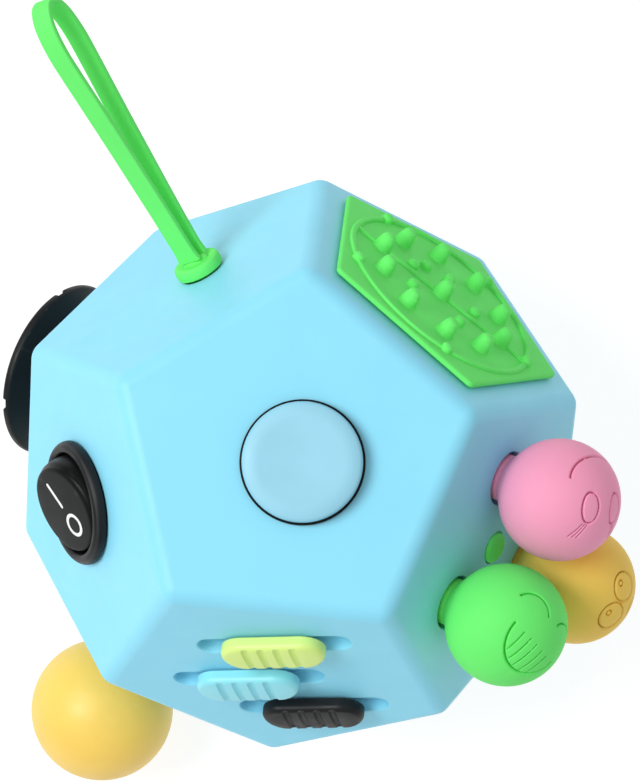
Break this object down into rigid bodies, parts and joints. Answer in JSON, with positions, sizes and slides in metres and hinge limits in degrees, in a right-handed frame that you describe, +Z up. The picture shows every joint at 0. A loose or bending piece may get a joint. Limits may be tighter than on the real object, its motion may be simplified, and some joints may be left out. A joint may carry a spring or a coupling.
{
  "type": "fidget toy",
  "caption": "Rounded twelve-sided desk fidget toy with a different small toy on each side, from glide pad and rocker to dial and ball-top stick.",
  "frame": {"origin": "middle of the underside of the base pad, on the surface the toy rests on", "axes": "+Z up through the glide pad side, -Y towards the slider side, +X towards the side with three face balls"},
  "size_m": [0.0839, 0.0964, 0.0653],
  "materials": {
    "body_blue": "moulded pale sky-blue plastic with a fine satin texture",
    "pad_blue": "smooth pale blue thumb cap, satin",
    "sky_blue": "moulded turquoise-blue plastic",
    "green_silicone": "bright green silicone, soft matt",
    "pink_silicone": "pink silicone, soft matt",
    "yellow_silicone": "warm yellow silicone, soft matt",
    "pink_plastic": "moulded pink plastic",
    "yellow_plastic": "moulded warm yellow plastic, satin",
    "green_plastic": "moulded bright green plastic",
    "lime_plastic": "moulded yellow-green plastic",
    "black_plastic": "moulded near-black plastic, satin",
    "grey_plastic": "moulded grey plastic for inner parts",
    "grey_rubber": "grey rubber dome sheet",
    "steel": "plain steel",
    "brass": "turned brass",
    "blue_silicone": "pale blue silicone pad, soft matt"
  },
  "bodies": {
    "root": {"front_shell": "body_blue", "rear_shell": "body_blue", "base_pad": "blue_silicone", "worry_stone": "sky_blue", "glide_tray": "black_plastic", "strap_grommet": "green_silicone", "massage_mat": "green_silicone", "ball_sheet": "green_silicone", "ball_backing_plate": "black_plastic", "slider_track_plate": "black_plastic", "rocker_bezel": "black_plastic", "rocker_leaf_spring": "steel", "dial_axle": "steel", "dial_bush": "brass", "dial_nut": "steel", "stick_housing": "black_plastic", "stick_collar": "black_plastic", "button_dome_sheet": "grey_rubber", "button_plate": "black_plastic", "gear_axle": "steel", "gear_bracket": "black_plastic", "housing_screw_1": "steel", "housing_screw_2": "steel", "housing_screw_3": "steel"},
    "glide_carriage": {"glide_carriage": "grey_plastic"},
    "glide_pad": {"glide_cap": "pad_blue", "glide_stem": "black_plastic", "glide_retainer": "black_plastic"},
    "strap": {"strap_loop": "green_silicone"},
    "rocker": {"rocker_paddle": "black_plastic"},
    "dial": {"dial_wheel": "black_plastic", "dial_cap": "black_plastic"},
    "stick_gimbal": {"stick_gimbal": "grey_plastic"},
    "stick": {"stick_knob": "yellow_plastic", "stick_shaft": "steel"},
    "slider_1": {"slider_knob_1": "lime_plastic", "slider_clip_1": "grey_plastic"},
    "gear_1": {"gear_1": "yellow_plastic"},
    "slider_2": {"slider_knob_2": "sky_blue", "slider_clip_2": "grey_plastic"},
    "gear_2": {"gear_2": "green_plastic"},
    "slider_3": {"slider_knob_3": "black_plastic", "slider_clip_3": "grey_plastic"},
    "gear_3": {"gear_3": "pink_plastic"},
    "face_ball_pink": {"face_ball_pink": "pink_silicone"},
    "face_ball_green": {"face_ball_green": "green_silicone"},
    "face_ball_yellow": {"face_ball_yellow": "yellow_silicone"},
    "press_button_1": {"press_button_1": "yellow_plastic"},
    "press_button_2": {"press_button_2": "green_plastic"},
    "press_button_3": {"press_button_3": "pink_plastic"},
    "press_button_4": {"press_button_4": "sky_blue"},
    "press_button_5": {"press_button_5": "lime_plastic"}
  },
  "joints": [
    {"name": "glide_pad_y", "type": "slide", "parent": "root", "child": "glide_carriage", "axis": [0, 1, 0], "range_m": [-0.0015, 0.0015], "stiffness_N_per_m": 80},
    {"name": "glide_pad_x", "type": "slide", "parent": "glide_carriage", "child": "glide_pad", "axis": [1, 0, 0], "range_m": [-0.0015, 0.0015], "stiffness_N_per_m": 80},
    {"name": "strap_flex", "type": "hinge", "parent": "root", "child": "strap", "pos_m": [-0.01557, 0.02517, 0.04708], "axis": [0.809, 0.2629, 0.5257], "range_deg": [-30, 30], "stiffness_Nm_per_rad": 0.01},
    {"name": "slider_1", "type": "slide", "parent": "root", "child": "slider_1", "axis": [0.9659, 0.1157, 0.2315], "range_m": [-0.003, 0.003]},
    {"name": "slider_2", "type": "slide", "parent": "root", "child": "slider_2", "axis": [0.9659, 0.1157, 0.2315], "range_m": [-0.003, 0.003]},
    {"name": "slider_3", "type": "slide", "parent": "root", "child": "slider_3", "axis": [0.9659, 0.1157, 0.2315], "range_m": [-0.003, 0.003]},
    {"name": "rocker_tilt", "type": "hinge", "parent": "root", "child": "rocker", "pos_m": [-0.02638, -0.00752, 0.04435], "axis": [0.3717, 0.2853, 0.8834], "range_deg": [-26, 0]},
    {"name": "face_ball_pink_wobble", "type": "hinge", "parent": "root", "child": "face_ball_pink", "pos_m": [0.02559, 0.00047, 0.04743], "axis": [-0.5229, -0.3558, 0.7746], "range_deg": [-5, 12], "stiffness_Nm_per_rad": 0.03},
    {"name": "face_ball_green_wobble", "type": "hinge", "parent": "root", "child": "face_ball_green", "pos_m": [0.02043, -0.01542, 0.04743], "axis": [0.2138, -0.5952, -0.7746], "range_deg": [-5, 12], "stiffness_Nm_per_rad": 0.03},
    {"name": "face_ball_yellow_wobble", "type": "hinge", "parent": "root", "child": "face_ball_yellow", "pos_m": [0.02917, -0.00948, 0.03448], "axis": [0.309, 0.9511, 0], "range_deg": [-5, 12], "stiffness_Nm_per_rad": 0.03},
    {"name": "dial_spin", "type": "hinge", "parent": "root", "child": "dial", "pos_m": [-0.02552, 0.00829, 0.01778], "axis": [-0.8507, 0.2764, -0.4472], "continuous": true},
    {"name": "stick_tilt_updown", "type": "hinge", "parent": "root", "child": "stick_gimbal", "pos_m": [-0.01268, -0.01898, 0.0198], "axis": [0.809, -0.5878, 0], "range_deg": [-8, 8], "stiffness_Nm_per_rad": 0.15},
    {"name": "stick_tilt_sideways", "type": "hinge", "parent": "stick_gimbal", "child": "stick", "pos_m": [-0.01268, -0.01898, 0.0198], "axis": [-0.2629, -0.3618, 0.8944], "range_deg": [-8, 8], "stiffness_Nm_per_rad": 0.15},
    {"name": "press_button_1", "type": "slide", "parent": "root", "child": "press_button_1", "axis": [0.5257, -0.7236, -0.4472], "range_m": [-0.001, 0], "stiffness_N_per_m": 80},
    {"name": "press_button_2", "type": "slide", "parent": "root", "child": "press_button_2", "axis": [0.5257, -0.7236, -0.4472], "range_m": [-0.001, 0], "stiffness_N_per_m": 80},
    {"name": "press_button_3", "type": "slide", "parent": "root", "child": "press_button_3", "axis": [0.5257, -0.7236, -0.4472], "range_m": [-0.001, 0], "stiffness_N_per_m": 80},
    {"name": "press_button_4", "type": "slide", "parent": "root", "child": "press_button_4", "axis": [0.5257, -0.7236, -0.4472], "range_m": [-0.001, 0], "stiffness_N_per_m": 80},
    {"name": "press_button_5", "type": "slide", "parent": "root", "child": "press_button_5", "axis": [0.5257, -0.7236, -0.4472], "range_m": [-0.001, 0], "stiffness_N_per_m": 80},
    {"name": "gear_1_spin", "type": "hinge", "parent": "root", "child": "gear_1", "pos_m": [0.0042, 0.02361, 0.01939], "axis": [-1, 0, 0], "continuous": true},
    {"name": "gear_2_spin", "type": "hinge", "parent": "root", "child": "gear_2", "pos_m": [0, 0.02361, 0.01939], "axis": [-1, 0, 0], "continuous": true},
    {"name": "gear_3_spin", "type": "hinge", "parent": "root", "child": "gear_3", "pos_m": [-0.0042, 0.02361, 0.01939], "axis": [-1, 0, 0], "continuous": true}
  ]
}
